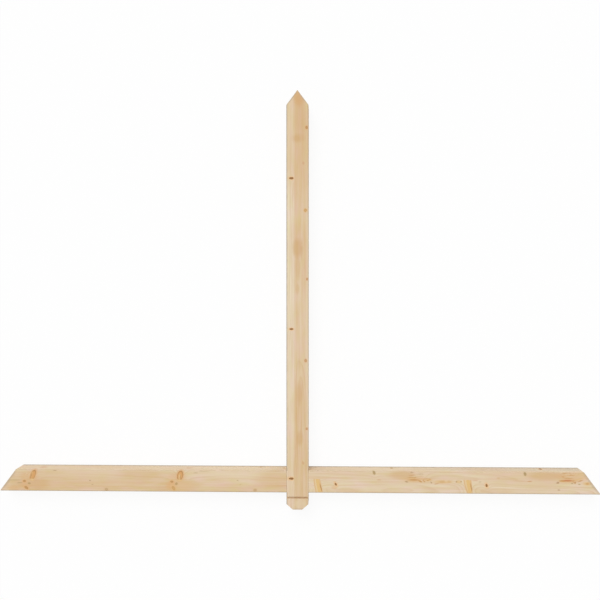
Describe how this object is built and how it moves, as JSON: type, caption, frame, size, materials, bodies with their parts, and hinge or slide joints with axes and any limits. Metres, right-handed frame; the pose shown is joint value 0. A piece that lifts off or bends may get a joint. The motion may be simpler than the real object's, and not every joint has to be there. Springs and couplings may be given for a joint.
{
  "type": "timber gable bracket",
  "caption": "Softwood gable bracket: a king post with a pointed peak and shaped foot between two level arms, with ends sawn to a 16 in 12 roof slope.",
  "frame": {"origin": "on the back face of the post, at its centreline, level with the lower edge of the arms", "axes": "+X along the arms to the viewer's right, +Y along the post to the peak, +Z out of the front faces; the bracket lies on its back"},
  "size_m": [2.4374, 1.6948, 0.0889],
  "materials": {
    "softwood": "matte"
  },
  "bodies": {
    "root": {"king_post": "softwood", "left_arm": "softwood", "right_arm": "softwood"}
  },
  "joints": []
}
